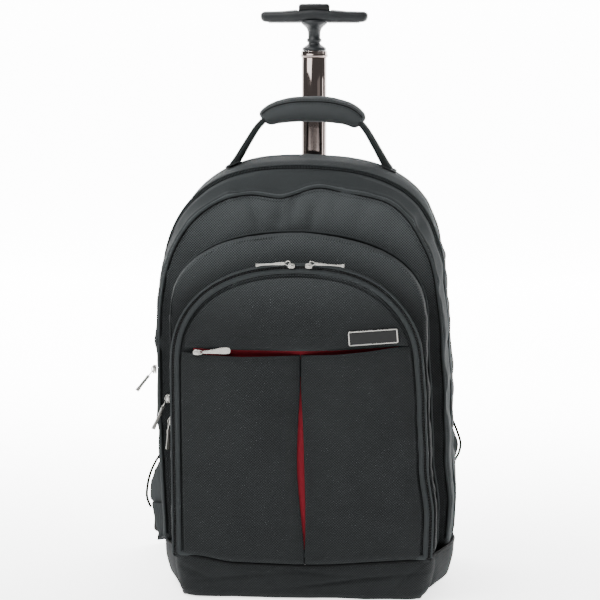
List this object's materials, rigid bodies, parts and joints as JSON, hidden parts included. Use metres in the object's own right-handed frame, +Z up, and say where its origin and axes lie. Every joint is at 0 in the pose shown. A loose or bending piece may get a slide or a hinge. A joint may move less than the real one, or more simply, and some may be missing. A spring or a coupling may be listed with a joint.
{
  "type": "wheeled backpack",
  "caption": "Soft wheeled backpack with stacked zipped compartments, carry handle, shoulder straps and a pull-up pole with a T grip.",
  "frame": {"origin": "on the floor, under the middle of the whole bag's box", "axes": "+Z up along the pole, +Y towards the wearer's back (the pole and shoulder straps), +X to the right seen from the front"},
  "size_m": [0.3864, 0.2916, 0.6552],
  "materials": {
    "plain_cloth": "plain-woven nylon, dark grey",
    "woven_cloth": "ballistic nylon with a fine dotted weave, charcoal",
    "zip_tape": "zip tape with a fine coil, near black",
    "red_lining": "plain red cloth",
    "back_padding": "padded cloth, near black",
    "webbing": "ribbed webbing, near black",
    "pull_metal": "polished pewter colour",
    "black_plastic": "moulded, fine grain",
    "grip_plastic": "moulded, satin",
    "pole_metal": "dark gunmetal plating",
    "axle_steel": "plain",
    "wheel_rubber": "matt",
    "foot_rubber": "matt"
  },
  "bodies": {
    "root": {"main_shell": "plain_cloth", "second_shell": "plain_cloth", "third_shell": "woven_cloth", "pocket_shell": "woven_cloth", "main_zip": "zip_tape", "second_zip": "zip_tape", "second_piping": "zip_tape", "third_piping": "zip_tape", "front_zip": "zip_tape", "upper_panel": "woven_cloth", "pocket_left": "woven_cloth", "pocket_right": "woven_cloth", "slit_lining": "red_lining", "pleat_lining": "red_lining", "label_rim": "pull_metal", "label_field": "black_plastic", "front_left_slider": "pull_metal", "front_left_puller": "pull_metal", "front_right_slider": "pull_metal", "front_right_puller": "pull_metal", "slit_slider": "pull_metal", "slit_puller": "pull_metal", "side_main_slider": "pull_metal", "side_main_puller": "pull_metal", "side_second_slider": "pull_metal", "side_second_puller": "pull_metal", "side_spare_slider": "pull_metal", "side_spare_puller": "pull_metal", "base_boot": "woven_cloth", "wheel_base": "black_plastic", "axle_left": "axle_steel", "axle_right": "axle_steel", "front_foot_left": "foot_rubber", "front_foot_right": "foot_rubber", "back_panel": "back_padding", "outer_tube": "pole_metal", "top_bezel": "black_plastic", "carry_strap": "webbing", "carry_grip": "back_padding", "handle_anchor_left": "plain_cloth", "handle_anchor_right": "plain_cloth", "strap_yoke": "back_padding", "shoulder_pad_left": "back_padding", "shoulder_pad_right": "back_padding", "strap_buckle_left": "black_plastic", "strap_buckle_right": "black_plastic", "strap_tab_left": "webbing", "strap_tab_right": "webbing", "strap_webbing_left": "webbing", "strap_webbing_right": "webbing"},
    "pole_middle": {"mid_tube": "pole_metal", "mid_collar": "pole_metal"},
    "pole_inner": {"inner_tube": "pole_metal", "t_grip": "grip_plastic"},
    "grip_button": {"button": "black_plastic"},
    "wheel_left": {"tyre_left": "wheel_rubber", "hub_left": "black_plastic"},
    "wheel_right": {"tyre_right": "wheel_rubber", "hub_right": "black_plastic"}
  },
  "joints": [
    {"name": "pole_slide", "type": "slide", "parent": "root", "child": "pole_middle", "axis": [0, 0, 1], "range_m": [-0.117, 0.16]},
    {"name": "grip_slide", "type": "slide", "parent": "pole_middle", "child": "pole_inner", "axis": [0, 0, 1], "range_m": [0, 0.24]},
    {"name": "button_press", "type": "slide", "parent": "pole_inner", "child": "grip_button", "axis": [0, 0, -1], "range_m": [0, 0.004], "stiffness_N_per_m": 800, "springref_m": -0.002},
    {"name": "wheel_left_spin", "type": "hinge", "parent": "root", "child": "wheel_left", "pos_m": [-0.11426, 0.08597, 0.026], "axis": [1, 0, 0], "continuous": true},
    {"name": "wheel_right_spin", "type": "hinge", "parent": "root", "child": "wheel_right", "pos_m": [0.14574, 0.08597, 0.026], "axis": [1, 0, 0], "continuous": true}
  ]
}
